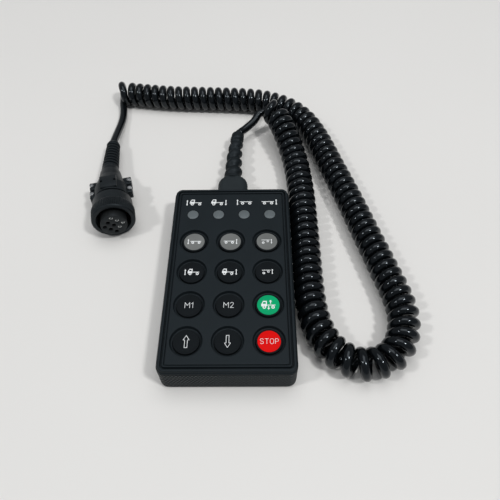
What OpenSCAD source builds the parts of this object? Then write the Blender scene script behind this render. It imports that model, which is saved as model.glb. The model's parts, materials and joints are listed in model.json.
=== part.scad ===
// Wired hand control: a flat case with twelve keys, a curly cord and a round bayonet plug.
// Origin: centre of the case's underside. +X is right, +Y is the cord's end of the case, +Z is up.

/* [Case] */
// Width of the case
case_w = 73.5; // [72.5:0.5:74.5]
// Length of the case
case_l = 126.5; // [125.5:0.5:128.5]
// Height of the case
case_h = 21; // [21:0.25:22]
// Corner radius seen from above
corner_r = 5.5; // [5:0.5:7]
// Wall thickness of the rear cover
wall = 3; // [2.8:0.1:3.1]
// Floor thickness of the rear cover
floor_t = 2.4; // [2:0.1:3]
// Height of the front cover's rim
rim_h = 3; // [2.8:0.1:3.2]
// Chamfer round the foot of the rear cover
foot_chamfer = 2.2; // [1:0.1:2.4]

/* [Front panel] */
// Width of the raised rim
rim_w = 2.8; // [2.4:0.1:3]
// Width of the groove inside the rim
groove_w = 0.7; // [0.5:0.1:1]
// Depth of the groove below the rim
groove_d = 0.9; // [0.5:0.1:1.2]
// Width of the border between the groove and the panel
border_w = 1.8; // [1.2:0.1:2]
// Depth of the border below the rim
border_d = 0.2; // [0.1:0.1:0.4]
// Depth of the panel below the rim
panel_d = 0.6; // [0.5:0.1:0.8]

/* [Keys] */
// Distance between key centres, both ways
key_pitch = 22; // [21.5:0.25:22]
// Distance of the first key row from the case's centre
first_row_y = 20.8; // [20:0.1:21]
// Diameter of a key cap
key_d = 14.3; // [13.5:0.1:14.6]
// Gap round a key cap
key_gap = 0.3; // [0.2:0.05:0.4]
// Diameter of a well at the panel
well_d = 17.6; // [16:0.1:18]
// Depth of a key cap's top below the panel
key_sink = 0.7; // [0.5:0.1:1]
// How far a key travels
key_travel = 1.2; // [0.8:0.1:1.2]

/* [Indicators] */
// Diameter of an indicator window
window_d = 7; // [6:0.5:8]
// Distance between window centres
window_pitch = 16.1; // [15:0.1:16.4]
// Distance of the windows from the case's centre
window_y = 41.8; // [41:0.1:42.4]

/* [Cord] */
// Diameter of the cord
cord_d = 5.7; // [5:0.1:6]
// Outer diameter of the cord's coil
coil_d = 18.4; // [16:0.1:18.4]

/* [Plug] */
// Diameter of the coupling ring
ring_d = 27.8; // [27.2:0.1:27.9]
// Distance between contact centres
contact_pitch = 4.1; // [4:0.05:4.2]
// How far the contact pattern is turned, in degrees
contact_roll = -40; // [-60:5:60]

/* [Hidden] */

$fn = 64;
fudge = 0.01;          // how far a cutter runs past the face that it cuts
hull_fn = 32;          // facets of a circle inside a hull

black = [0.10, 0.11, 0.12];
grey = [0.50, 0.51, 0.49];
green = [0.08, 0.62, 0.38];
red = [0.85, 0.10, 0.12];
steel = [0.72, 0.73, 0.75];
brass = [0.80, 0.66, 0.35];
gold = [0.86, 0.70, 0.36];

// Heights in the case
split_z = case_h - rim_h;
panel_z = case_h - panel_d;
key_top_z = panel_z - key_sink;
board_z = 11;
board_t = 1.6;
board_top = board_z + board_t;
mat_t = 1.2;
mat_top = board_top + mat_t;
dome_top = 16.1;
pill_top = 15.05;      // also the ceiling of the hollow under a dome
flange_z = 16.3;       // underside of a key's flange
flange_top = split_z - 0.1;

// Key places
key_cols = [-key_pitch, 0, key_pitch];
function row_y(row) = first_row_y - row * key_pitch;
well_depth = 1.1;
key_bore_r = key_d / 2 + key_gap;

// Screw posts
post_x = 29.8;
post_ys = [56.5, row_y(1.5), -56.5];
post_r = 3.2;
insert_r = 2.1;
insert_len = 5;
insert_z = board_z + 0.2;
screw_r = 1.5;
screw_head_r = 2.75;
counterbore_z = 3.4;

// Board outline: it stops short of the cord's entry
board_w = 61;
board_y0 = -56;
board_y1 = 46.5;

// Cord entry through the far wall
entry_z = 10.4;
entry_y = case_l / 2;
gland_len = 21;
gland_w = 20;
gland_h = 12.4;
gland_neck_r = 4.45;
relief_y = entry_y + gland_len;
clamp_y = 53;
clamp_x = 8;

// Route of the coil's axis, from the handset's end to the plug's end
coil_route = [
    [17.6, 147.9, 19.8], [28.5, 142.5, 18.6], [34, 133, 17.3], [37.5, 122.5, 15.5], [40.6, 112, 12.8],
    [44, 97, 9.8], [46, 74, 9.3], [46.5, 48, 9.3], [46.5, 20, 9.3], [46.5, -6, 9.3],
    [48, -25, 9.3], [53, -40, 9.3], [62, -50, 9.3], [74, -54, 9.3], [87, -50, 9.3],
    [95, -40, 9.3], [98.5, -26, 9.3], [97, -11, 9.3], [92, 9, 9.3], [85, 36, 9.3],
    [77.3, 66, 9.3], [69, 95.5, 9.3], [61.5, 122.5, 9.3], [52.8, 143.5, 9.3], [41.3, 157.3, 9.3],
    [26, 165.7, 9.3], [8, 169.6, 9.3], [-20, 171.6, 9.3], [-52, 173.6, 9.3], [-84, 178.3, 9.3],
    [-95.3, 180.4, 9.3]
];
// Route of the plain cord between the handset and the coil
tail_handset_route = [
    [0, 62, entry_z], [0, relief_y, entry_z], [1.2, 106, 9.75], [2.4, 127.5, 9.1],
    [4.3, 131.7, 9], [8.7, 136.2, 9.3], [14.3, 141.8, 10.8], [19, 146.6, 13], [20.5, 148.6, 13.5]
];
sweep_sides = 12;
coil_steps = 2;        // rings on each stretch between two route points
tail_steps = 2;

// The plug lies on the ground, mouth towards -Y and raised a little
plug_pos = [-75.7, 41.9, 14.5];
plug_yaw = 13;
plug_tilt = 4.7;
mouth_r = 10.8;
mouth_lead_r = 11;
mouth_lead_len = 3.2;
ring_len = 16.3;
ring_wall = 1.3;
ring_shoulder = -ring_len + ring_wall;
spigot_r = 8.4;        // the contact insert ahead of its seal
insert_rear_r = 8.15;
insert_face = 4;       // the insert's face, ahead of the ring's front
flange_front = ring_shoulder + 2.8;
seal_seat = flange_front + 1.7;
neck_r = 9.6;
shell_r = 11.2;
shell_z = -ring_len - 0.5;
ear_zs = [-37, -28.6];
ear_len = 6.9;
ear_screw_x = 12.5;
boot_z = -51;          // the backshell's end, where the boot bends to one side
boot_end = -81;
boot_bend = 7.5;
cord_stop = -47.6;     // the jacket's end inside the backshell
cavity_r = 1.3;
fitted = [[-1, 1], [0, 1], [1, 1], [1, 0]];   // cavities that hold a contact

plug_axis = [
    sin(plug_yaw) * cos(plug_tilt), -cos(plug_yaw) * cos(plug_tilt), sin(plug_tilt)
];
function plug_point(z) = plug_pos + z * plug_axis;
boot_axis = [
    sin(plug_yaw - boot_bend) * cos(plug_tilt), -cos(plug_yaw - boot_bend) * cos(plug_tilt),
    sin(plug_tilt)
];
function boot_point(z) = plug_point(boot_z) + (z - boot_z) * boot_axis;

// Route of the plain cord between the coil and the plug
tail_plug_route = [
    [-92.4, 181, 3], [-91.9, 174, 3], [-90.4, 166, 3], [-89.6, 158, 3.1], [-89.7, 149, 3.5],
    [-90.2, 137, 5.3], boot_point(boot_end - 4), boot_point(boot_end), boot_point(-66),
    boot_point(boot_z), boot_point(cord_stop)
];

// ---------- shared shapes ----------

module rounded_rect(w, l, r) {
    square([w - 2 * r, l], center = true);
    square([w, l - 2 * r], center = true);
    for (x = [-1, 1], y = [-1, 1])
        translate([x * (w / 2 - r), y * (l / 2 - r)]) circle(r);
}

// The case's outline, drawn in by inset on every side
module case_outline(inset) {
    rounded_rect(case_w - 2 * inset, case_l - 2 * inset, max(1, corner_r - inset));
}

module case_slab(inset, z0, z1) {
    translate([0, 0, z0]) linear_extrude(z1 - z0) case_outline(inset);
}

module case_frame(inset_out, inset_in, z0, z1) {
    translate([0, 0, z0])
        linear_extrude(z1 - z0)
            difference() {
                case_outline(inset_out);
                case_outline(inset_in);
            }
}

module rod(r, z0, z1) {
    translate([0, 0, z0]) cylinder(h = z1 - z0, r = r);
}

module tube(r_out, r_in, z0, z1) {
    difference() {
        rod(r_out, z0, z1);
        rod(r_in, z0 - fudge, z1 + fudge);
    }
}

module block(size, pos) {
    translate([pos.x - size.x / 2, pos.y - size.y / 2, pos.z]) cube(size);
}

module at_posts() {
    for (x = [-post_x, post_x], y = post_ys) translate([x, y, 0]) children();
}

module at_keys() {
    for (x = key_cols, row = [0:3]) translate([x, row_y(row), 0]) children();
}

module at_windows() {
    for (i = [-1.5:1:1.5]) translate([i * window_pitch, window_y, 0]) children();
}

// Places children so that their z axis runs from a towards b
module along(a, b) {
    v = b - a;
    translate(a) rotate([0, acos(v.z / norm(v)), atan2(v.y, v.x)]) children();
}

// ---------- swept cord ----------

// Point at t, from 0 to 1, between p1 and p2 of a smooth curve through p0 to p3
function curve_point(p0, p1, p2, p3, t) =
    0.5 * (2 * p1 + (p2 - p0) * t + (2 * p0 - 5 * p1 + 4 * p2 - p3) * t * t
        + (3 * p1 - p0 - 3 * p2 + p3) * t * t * t);

function smooth_route(p, steps) =
    let (last = len(p) - 1, q = concat([2 * p[0] - p[1]], p, [2 * p[last] - p[last - 1]]))
    concat(
        [for (i = [0:last - 1], s = [0:steps - 1])
            curve_point(q[i], q[i + 1], q[i + 2], q[i + 3], s / steps)],
        [p[last]]);

function unit(v) = v / norm(v);

function heading(p, i) = unit(p[min(i + 1, len(p) - 1)] - p[max(i - 1, 0)]);

module swept_tube(route, r, steps) {
    path = smooth_route(route, steps);
    n = sweep_sides;
    rings = len(path);
    points = [for (i = [0:rings - 1])
        let (t = heading(path, i), side = unit(cross(t, [0, 0, 1])), up = cross(side, t))
        for (k = [0:n - 1])
            path[i] + r * (cos(360 * (k + 0.5) / n) * side + sin(360 * (k + 0.5) / n) * up)];
    walls = [for (i = [0:rings - 2], k = [0:n - 1])
        let (a = i * n + k, b = i * n + (k + 1) % n)
        each [[a, b, b + n], [a, b + n, a + n]]];
    start_cap = [for (k = [1:n - 2]) [0, k + 1, k]];
    end_base = (rings - 1) * n;
    end_cap = [for (k = [1:n - 2]) [end_base, end_base + k, end_base + k + 1]];
    polyhedron(points, concat(walls, start_cap, end_cap), convexity = 10);
}

// ---------- case ----------

module rear_cover() {
    color(black)
    difference() {
        union() {
            difference() {
                union() {
                    hull($fn = hull_fn) {
                        case_slab(foot_chamfer, 0, 0.1, $fn = hull_fn);
                        case_slab(0, foot_chamfer, foot_chamfer + 0.1, $fn = hull_fn);
                    }
                    case_slab(0, foot_chamfer, split_z);
                }
                case_slab(wall, floor_t, case_h);
            }
            at_posts() {
                rod(4.2, floor_t - 0.4, 5);
                rod(3.4, floor_t - 0.4, board_z);
            }
            for (x = [-16, 16], y = [30, row_y(1.5), -50])
                translate([x, y, 0]) rod(2.2, floor_t - 0.4, board_z);
            block([24, 6, entry_z - 0.5 - floor_t + 0.4], [0, clamp_y, floor_t - 0.4]);
        }
        at_posts() {
            rod(3, -fudge, counterbore_z);
            rod(screw_r + 0.15, 0, board_z + fudge);
        }
        case_frame(0.9, 2.1, split_z - 0.9, split_z + fudge);
        translate([0, entry_y - wall - fudge, entry_z])
            rotate([-90, 0, 0]) cylinder(h = wall + 2 * fudge, r = gland_neck_r + 0.05);
        translate([0, clamp_y - 4, entry_z])
            rotate([-90, 0, 0]) cylinder(h = 8, r = cord_d / 2 + 0.02);
        for (x = [-clamp_x, clamp_x])
            translate([x, clamp_y, 0]) rod(1.25, 4, entry_z);
    }
}

module front_cover() {
    color(black)
    difference() {
        union() {
            case_slab(0, split_z, case_h);
            case_frame(wall + 0.2, wall + 1.4, split_z - 2, split_z + fudge);
            at_posts() rod(post_r, board_z, split_z + fudge);
            for (row = [0.5, 1.5, 2.5])
                block([46, 1.2, split_z + fudge - mat_top], [0, row_y(row), mat_top]);
        }
        case_slab(rim_w, case_h - border_d, case_h + 1);
        case_frame(rim_w, rim_w + groove_w, case_h - groove_d, case_h + 1);
        case_slab(rim_w + groove_w + border_w, panel_z, case_h + 1);
        at_keys() {
            translate([0, 0, panel_z - well_depth])
                cylinder(h = well_depth + fudge, r1 = key_bore_r, r2 = well_d / 2);
            rod(key_bore_r, split_z - 1, case_h);
        }
        at_windows() rod(window_d / 2 + 0.1, split_z - 1, case_h);
        at_posts() rod(insert_r + 0.02, board_z - fudge, insert_z + insert_len + 0.2);
    }
}

module case_seal() {
    color("dimgray") case_frame(0.95, 2.05, split_z - 0.9, split_z);
}

module case_screws() {
    color(steel)
    at_posts()
    difference() {
        union() {
            rod(screw_head_r, 0.8, counterbore_z);
            rod(screw_r, counterbore_z - fudge, insert_z + 4);
        }
        translate([0, 0, 0.8 - fudge]) cylinder(h = 1.5, r = 1.45, $fn = 6);
    }
}

module threaded_inserts() {
    color(brass)
    at_posts() tube(insert_r, screw_r + 0.05, insert_z, insert_z + insert_len);
}

// One key: column 0 to 2 from the left, row 0 to 3 from the cord's end
module key_cap(column, row, tint) {
    edge = 0.45;
    color(tint)
    translate([key_cols[column], row_y(row), 0]) {
        rod(key_d / 2 + 0.85, flange_z, flange_top);
        rod(key_d / 2, flange_z, key_top_z - edge);
        translate([0, 0, key_top_z - edge])
            cylinder(h = edge, r1 = key_d / 2, r2 = key_d / 2 - edge);
    }
}

// ---------- inside the case ----------

module keypad_mat() {
    color("darkslategray")
    difference() {
        union() {
            translate([-board_w / 2, board_y0, board_top])
                cube([board_w, board_y1 - board_y0, mat_t]);
            at_keys() translate([0, 0, mat_top - fudge])
                cylinder(h = dome_top - mat_top + fudge, r1 = 5.6, r2 = 3.3);
        }
        at_keys() translate([0, 0, board_top - fudge])
            cylinder(h = pill_top - board_top + fudge, r1 = 4.6, r2 = 2.5);
        at_windows() rod(3, board_top - 1, mat_top + 1);
        at_posts() rod(post_r + 0.3, board_top - 1, mat_top + 1);
    }
}

module contact_pills() {
    color("black") at_keys() rod(2, pill_top - 0.45, pill_top);
}

module indicator_lenses() {
    color(grey)
    at_windows() {
        rod(window_d / 2, split_z - fudge, panel_z - 0.1);
        rod(window_d / 2 + 0.9, split_z - 1, split_z);
        rod(2.4, board_top + 1, split_z - 1 + fudge);
    }
}

module indicator_leds() {
    color("white")
    for (i = [-1.5:1:1.5])
        block([3.2, 2.8, 0.8], [i * window_pitch, window_y, board_top]);
}

module circuit_board() {
    color("darkgreen")
    difference() {
        translate([-board_w / 2, board_y0, board_z])
            cube([board_w, board_y1 - board_y0, board_t]);
        at_posts() rod(post_r + 0.3, board_z - 1, board_top + 1);
    }
}

module controller_chip() {
    color("black") block([10, 10, 1.4], [0, 2, board_z - 1.4]);
}

module board_capacitors() {
    color(steel) for (y = [-28, -36]) translate([0, y, 0]) rod(3.1, board_z - 5.6, board_z);
}

module board_header() {
    color("ivory")
    difference() {
        block([13, 7, 6], [0, 38.5, board_z - 6]);
        block([11.2, 7, 4.6], [0, 39.6, board_z - 5.3]);
    }
}

module lead_plug() {
    color("white") block([11, 8, 4.4], [0, 40.2, board_z - 5.2]);
}

module handset_leads() {
    color("orange")
    for (i = [-1.5:1:1.5]) {
        a = [i * 2.4, 44.2, board_z - 3];
        b = [i * 1.1, 48, entry_z];
        difference() {
            along(a, b) translate([0, 0, -1]) cylinder(h = norm(b - a) + 2, r = 0.5);
            translate(a - [2, 2, 2]) cube([4, 2, 4]);
            translate(b - [2, 0, 2]) cube([4, 2, 4]);
        }
    }
}

module cord_inner_end() {
    color("black")
    translate([0, 48, entry_z]) rotate([-90, 0, 0]) cylinder(h = 14, r = cord_d / 2);
}

module cord_clamp() {
    color(black)
    difference() {
        block([24, 6, 3.5], [0, clamp_y, entry_z + 0.5]);
        translate([0, clamp_y - 4, entry_z])
            rotate([-90, 0, 0]) cylinder(h = 8, r = cord_d / 2 + 0.02);
        for (x = [-clamp_x, clamp_x]) translate([x, clamp_y, 0]) rod(1.25, entry_z, case_h);
    }
}

module clamp_screws() {
    top = entry_z + 4;
    color(steel)
    for (x = [-clamp_x, clamp_x])
        translate([x, clamp_y, 0])
        difference() {
            union() {
                rod(1.2, 4.5, top + fudge);
                rod(2.2, top, top + 1.6);
            }
            translate([0, 0, top + 0.8]) cylinder(h = 1, r = 1.1, $fn = 6);
        }
}

// ---------- cord ----------

module cord_gland() {
    color(black)
    difference() {
        union() {
            translate([0, entry_y, entry_z - gland_h / 2])
                linear_extrude(gland_h) gland_outline();
            translate([0, entry_y - wall, entry_z])
                rotate([-90, 0, 0]) cylinder(h = wall + fudge, r = gland_neck_r);
            translate([0, entry_y - wall - 1.5, entry_z])
                rotate([-90, 0, 0]) cylinder(h = 1.5, r = gland_neck_r + 0.95);
        }
        translate([0, entry_y - wall - 2, entry_z])
            rotate([-90, 0, 0]) cylinder(h = gland_len + 10, r = cord_d / 2 + 0.2);
    }
}

// Plan of the moulded shoulder: square at the wall, round at its far corners
module gland_outline() {
    r = 6;
    translate([-gland_w / 2, 0]) square([gland_w, gland_len - r]);
    translate([-gland_w / 2 + r, 0]) square([gland_w - 2 * r, gland_len]);
    for (x = [-1, 1]) translate([x * (gland_w / 2 - r), gland_len - r]) circle(r);
}

module strain_relief() {
    a = tail_handset_route[1];
    b = tail_handset_route[3];
    length = norm(b - a);
    lead_in = 1;
    color(black)
    difference() {
        along(a, b) translate([0, 0, -lead_in])
            cylinder(h = length + lead_in, r1 = 6.5, r2 = 4.4);
        along(a, b) translate([0, 0, -2 * lead_in])
            cylinder(h = length + 3 * lead_in, r = cord_d / 2 + 0.25);
        translate([-20, relief_y - 20, -10]) cube([40, 20, 40]);
    }
}

module cord_tail_handset() {
    color("black") swept_tube(tail_handset_route, cord_d / 2, tail_steps);
}

module cord_coil() {
    color("black") swept_tube(coil_route, coil_d / 2, coil_steps);
}

module cord_tail_connector() {
    color("black") swept_tube(tail_plug_route, cord_d / 2, tail_steps);
}

// ---------- plug ----------

// Plug frame: z runs out of the mouth, and z = 0 is the coupling ring's front
module at_plug() {
    translate(plug_pos) rotate([90 - plug_tilt, 0, plug_yaw]) children();
}

function contact_place(c) = [c.x * contact_pitch, c.y * contact_pitch, 0];

module coupling_ring() {
    ring_r = ring_d / 2;
    band_r = ring_r - 1.2;
    back = -ring_len;
    color(black)
    at_plug() {
        rotate_extrude()
            polygon([
                [mouth_lead_r, 0], [ring_r - 0.7, 0], [ring_r, -0.7], [ring_r, -7.2],
                [band_r, -8.8], [band_r, back], [neck_r + 0.05, back],
                [neck_r + 0.05, ring_shoulder], [mouth_r, ring_shoulder],
                [mouth_r, -mouth_lead_len], [mouth_lead_r, -mouth_lead_len]
            ]);
        for (a = [90, 210, 330])
            rotate(a) translate([10, -1.8, -6]) cube([1.2, 3.6, 2]);
    }
}

// The flange and sleeve that carry the contact insert
module connector_body() {
    color(black)
    at_plug()
    rotate_extrude()
        polygon([
            [8.2, flange_front], [10.4, flange_front], [10.4, flange_front - 1.2],
            [neck_r, flange_front - 1.2], [neck_r, shell_z], [9.2, shell_z], [9.2, -25], [8.2, -25]
        ]);
}

module contact_insert() {
    color(black)
    at_plug()
    difference() {
        union() {
            rod(spigot_r, seal_seat, insert_face);
            rod(insert_rear_r, -25, seal_seat + fudge);
        }
        rotate(contact_roll)
            for (x = [-1:1], y = [-1:1])
                translate(contact_place([x, y])) {
                    rod(cavity_r, -26, insert_face + fudge);
                    rod(1.75, -26, -18);
                }
    }
}

module contact_sockets() {
    color(gold)
    at_plug() rotate(contact_roll)
    for (c = fitted)
        translate(contact_place(c))
        difference() {
            rod(1.2, -22, insert_face - 0.6);
            rod(0.85, -6, insert_face);
        }
}

module connector_leads() {
    color("orange")
    at_plug() rotate(contact_roll)
    for (c = fitted) {
        a = contact_place(c) + [0, 0, -22];
        b = 0.3 * contact_place(c) + [0, 0, cord_stop + 0.4];
        difference() {
            along(a, b) translate([0, 0, -1]) cylinder(h = norm(b - a) + 2, r = 0.6);
            translate(a - [2, 2, 0]) cube([4, 4, 4]);
            translate(b - [2, 2, 4]) cube([4, 4, 4]);
        }
    }
}

module interface_seal() {
    color("darkorange")
    at_plug() translate([0, 0, flange_front + 0.75])
        rotate_extrude() translate([insert_rear_r + 0.8, 0]) circle(0.7);
}

module wave_spring() {
    color(steel) at_plug() tube(10.4, 9.8, ring_shoulder + 0.05, flange_front - 1.25);
}

module backshell() {
    difference() {
        union() {
            rotate_extrude()
                polygon([
                    [9.3, shell_z], [shell_r, shell_z], [shell_r, -38], [8.4, -44.5],
                    [5.9, -50], [5.9, boot_z], [4.75, boot_z], [4.75, -49.2], [7.2, -43.6],
                    [9.3, -37.5]
                ]);
            for (side = [-1, 1], z = ear_zs)
                translate([side * 11.75 - 2.15, -2.8, z]) cube([4.3, 5.6, ear_len]);
        }
        at_ear_screws() cylinder(h = 12, r = 0.95, center = true);
    }
}

// Places children on the ears' screw axes, with z across the split
module at_ear_screws() {
    for (side = [-1, 1], z = ear_zs)
        translate([side * ear_screw_x, 0, z + ear_len / 2]) rotate([-90, 0, 0]) children();
}

module backshell_half(side) {
    color(black)
    at_plug()
    difference() {
        backshell();
        translate([-30, side > 0 ? -40 + 0.05 : -0.05, -80]) cube([60, 40, 80]);
    }
}

module backshell_screws() {
    color(steel)
    at_plug() at_ear_screws()
    difference() {
        union() {
            rod(0.9, -2.8, 2.8 + fudge);
            rod(1.35, 2.8, 3.8);
            rod(1.35, -3.8, -2.8);
        }
        translate([0, 0, 3.2]) cylinder(h = 1, r = 0.75, $fn = 6);
    }
}

module at_boot() {
    translate(plug_point(boot_z)) rotate([90 - plug_tilt, 0, plug_yaw - boot_bend])
        translate([0, 0, -boot_z]) children();
}

module connector_boot() {
    ribs = 7;
    rib_pitch = 3.4;
    bore_r = cord_d / 2 + 0.2;
    flange_z = boot_z - 1.2;
    color(black)
    at_boot()
    rotate_extrude()
    difference() {
        polygon([
            [bore_r, boot_z + 4], [4, boot_z + 4], [4, flange_z], [5.8, flange_z],
            [4.8, -78], [3.9, boot_end], [bore_r, boot_end]
        ]);
        for (i = [0:ribs - 1])
            translate([4.3, -54.9 - i * rib_pitch]) square([3, 1.3]);
    }
}

// ---------- assembly ----------

rear_cover();
front_cover();
case_seal();
case_screws();
threaded_inserts();
key_cap(0, 0, grey);  // key_trailer_front
key_cap(1, 0, grey);  // key_trailer_rear
key_cap(2, 0, grey);  // key_trailer_lift_axle
key_cap(0, 1, black);  // key_truck_front
key_cap(1, 1, black);  // key_truck_rear
key_cap(2, 1, black);  // key_truck_lift_axle
key_cap(0, 2, black);  // key_memory_1
key_cap(1, 2, black);  // key_memory_2
key_cap(2, 2, green);  // key_ride_height
key_cap(0, 3, black);  // key_raise
key_cap(1, 3, black);  // key_lower
key_cap(2, 3, red);  // key_stop
keypad_mat();
contact_pills();
indicator_lenses();
indicator_leds();
circuit_board();
controller_chip();
board_capacitors();
board_header();
lead_plug();
handset_leads();
cord_inner_end();
cord_clamp();
clamp_screws();
cord_gland();
strain_relief();
cord_tail_handset();
cord_coil();
cord_tail_connector();
connector_boot();
backshell_half(1);  // backshell_upper
backshell_half(-1);  // backshell_lower
backshell_screws();
connector_body();
contact_insert();
contact_sockets();
connector_leads();
interface_seal();
wave_spring();
coupling_ring();
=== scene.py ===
"""Looks of the wired hand control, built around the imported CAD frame.

Pieces are drawn in millimetres and scaled to metres when they are placed, in the CAD's own frame:
+X right, +Y towards the cord's end of the case, +Z up out of the keys.
"""
import json
from math import cos, pi, radians, sin, tan

import bmesh
import bpy
from mathutils import Matrix, Vector


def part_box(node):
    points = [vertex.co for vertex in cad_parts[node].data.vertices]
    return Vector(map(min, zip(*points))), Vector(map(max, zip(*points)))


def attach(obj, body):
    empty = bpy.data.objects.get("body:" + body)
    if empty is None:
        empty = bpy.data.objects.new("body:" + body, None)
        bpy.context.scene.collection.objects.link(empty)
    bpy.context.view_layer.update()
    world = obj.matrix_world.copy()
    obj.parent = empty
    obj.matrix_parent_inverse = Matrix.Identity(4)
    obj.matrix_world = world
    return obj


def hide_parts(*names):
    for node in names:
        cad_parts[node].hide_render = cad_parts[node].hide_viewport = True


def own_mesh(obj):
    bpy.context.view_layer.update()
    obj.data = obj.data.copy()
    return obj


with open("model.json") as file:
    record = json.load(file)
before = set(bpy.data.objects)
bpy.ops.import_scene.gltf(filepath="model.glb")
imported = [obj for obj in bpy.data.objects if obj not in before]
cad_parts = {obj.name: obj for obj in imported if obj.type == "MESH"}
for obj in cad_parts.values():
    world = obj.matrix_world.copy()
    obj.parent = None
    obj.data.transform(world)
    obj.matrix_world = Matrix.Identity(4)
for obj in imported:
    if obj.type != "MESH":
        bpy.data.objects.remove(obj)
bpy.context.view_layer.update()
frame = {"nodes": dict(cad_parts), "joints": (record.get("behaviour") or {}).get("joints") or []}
nodes = frame["nodes"]

MM = 0.001
UP = Vector((0, 0, 1))
CAMERA_PLACE = (0.01528, -0.16129, 0.26166)
CAMERA_TURN_DEG = (35.973, 0.751, 0.106)


# ---------------------------------------------------------------- camera

def make_camera():
    data = bpy.data.cameras.new("camera")
    data.lens = 36
    data.sensor_width = 36
    data.clip_start = 0.01
    data.clip_end = 20
    camera = bpy.data.objects.new("camera", data)
    camera.location = CAMERA_PLACE
    camera.rotation_euler = [radians(angle) for angle in CAMERA_TURN_DEG]
    bpy.context.scene.collection.objects.link(camera)
    bpy.context.scene.camera = camera
    bpy.context.scene.view_settings.view_transform = "Standard"


make_camera()


# ---------------------------------------------------------------- mesh helpers

def node_box(name):
    """Lowest corner, highest corner and centre of a CAD node, in millimetres."""
    low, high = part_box(name)
    low, high = low / MM, high / MM
    return low, high, (low + high) / 2


def fillet(points, steps=4):
    """A profile with arcs at its corners. A point is (a, b), or (a, b, radius) where it is rounded."""
    out = []
    count = len(points)
    for i, point in enumerate(points):
        corner = Vector(point[:2])
        radius = point[2] if len(point) > 2 else 0
        if radius == 0:
            out.append(tuple(corner))
            continue
        before = Vector(points[i - 1][:2]) - corner
        after = Vector(points[(i + 1) % count][:2]) - corner
        half = before.angle(after) / 2
        reach = min(radius / tan(half), before.length * 0.49, after.length * 0.49)
        radius = reach * tan(half)
        centre = corner + (before.normalized() + after.normalized()).normalized() * radius / sin(half)
        start = corner + before.normalized() * reach - centre
        end = corner + after.normalized() * reach - centre
        turn = start.angle_signed(end)
        for step in range(steps + 1):
            arm = start.copy()
            arm.rotate(Matrix.Rotation(-turn * step / steps, 2))
            out.append(tuple(centre + arm))
    return out


def rounded_rect(width, length, radius, steps=8):
    """Points round a rectangle with rounded corners, anticlockwise."""
    points = []
    for turn, (sx, sy) in enumerate(((1, 1), (-1, 1), (-1, -1), (1, -1))):
        centre = Vector((sx * (width / 2 - radius), sy * (length / 2 - radius)))
        for step in range(steps + 1):
            angle = radians(90) * (turn + step / steps)
            points.append((centre.x + radius * cos(angle), centre.y + radius * sin(angle)))
    return points


def bridge(bm, first, second, closed=True):
    """Faces between two rings of vertices. A ring of one vertex is a pole."""
    count = max(len(first), len(second))
    for i in range(count if closed else count - 1):
        j = (i + 1) % count
        corners = [ring[k % len(ring)] for ring, k in ((first, i), (first, j), (second, j), (second, i))]
        unique = [v for k, v in enumerate(corners) if v not in corners[:k]]
        if len(unique) > 2:
            bm.faces.new(unique)


def lathe(bm, profile, segments=96, closed=False, shape=None):
    """Turns a profile of (radius, height) points about z. shape(radius, height, angle) may ripple it."""
    rings = []
    for radius, height in profile:
        if radius < 1e-6:
            rings.append([bm.verts.new((0, 0, height))])
            continue
        ring = []
        for i in range(segments):
            angle = 2 * pi * i / segments
            r = shape(radius, height, angle) if shape else radius
            ring.append(bm.verts.new((r * cos(angle), r * sin(angle), height)))
        rings.append(ring)
    for first, second in zip(rings, rings[1:] + (rings[:1] if closed else [])):
        bridge(bm, first, second)
    return rings


def stack(bm, layers):
    """Closes a solid through layers of (points, height), all with the same number of points."""
    rings = [[bm.verts.new((x, y, z)) for x, y in points] for points, z in layers]
    for first, second in zip(rings, rings[1:]):
        bridge(bm, first, second)
    bm.faces.new(rings[0][::-1])
    bm.faces.new(rings[-1])


def prism(bm, points, z0, z1):
    stack(bm, [(points, z0), (points, z1)])


def placed(name, bm, material, body, matrix=Matrix(), smooth_angle=32):
    """A finished piece from a bmesh in millimetres. matrix places it, in millimetres too."""
    bmesh.ops.recalc_face_normals(bm, faces=bm.faces)
    mesh = bpy.data.meshes.new(name)
    bm.to_mesh(mesh)
    bm.free()
    mesh.transform(Matrix.Scale(MM, 4) @ matrix)
    for polygon in mesh.polygons:
        polygon.use_smooth = True
    mesh.set_sharp_from_angle(angle=radians(smooth_angle))
    mesh.materials.append(material)
    piece = bpy.data.objects.new(name, mesh)
    bpy.context.scene.collection.objects.link(piece)
    if body:
        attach(piece, body)
    return piece


def applied(piece):
    """Bakes a piece's modifiers into its mesh."""
    bpy.context.view_layer.update()
    mesh = bpy.data.meshes.new_from_object(piece.evaluated_get(bpy.context.evaluated_depsgraph_get()))
    old = piece.data
    piece.modifiers.clear()
    piece.data = mesh
    bpy.data.meshes.remove(old)
    return piece


def carve(piece, cutters, operation="DIFFERENCE"):
    """Cuts pieces out of, or joins them to, a piece, and removes them."""
    for cutter in cutters:
        modifier = piece.modifiers.new("carve", "BOOLEAN")
        modifier.operation = operation
        modifier.solver = "EXACT"
        modifier.object = cutter
    applied(piece)
    for cutter in cutters:
        bpy.data.objects.remove(cutter)
    return piece


def smooth_by(piece, angle):
    for polygon in piece.data.polygons:
        polygon.use_smooth = True
    piece.data.set_sharp_from_angle(angle=radians(angle))
    return piece


def soften(name, width, angle=40, segments=2):
    """Rounds the sharp edges of a CAD node that stays in view."""
    node = nodes[name]
    weld = node.modifiers.new("weld", "WELD")
    weld.merge_threshold = 1e-6
    bevel = node.modifiers.new("edges", "BEVEL")
    bevel.width = width * MM
    bevel.segments = segments
    bevel.limit_method = "ANGLE"
    bevel.angle_limit = radians(angle)
    bevel.harden_normals = False
    bevel.use_clamp_overlap = True
    for polygon in node.data.polygons:
        polygon.use_smooth = True


# ---------------------------------------------------------------- materials

def new_material(name):
    material = bpy.data.materials.new(name)
    material.use_nodes = True
    tree = material.node_tree
    return material, tree, tree.nodes["Principled BSDF"]


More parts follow.
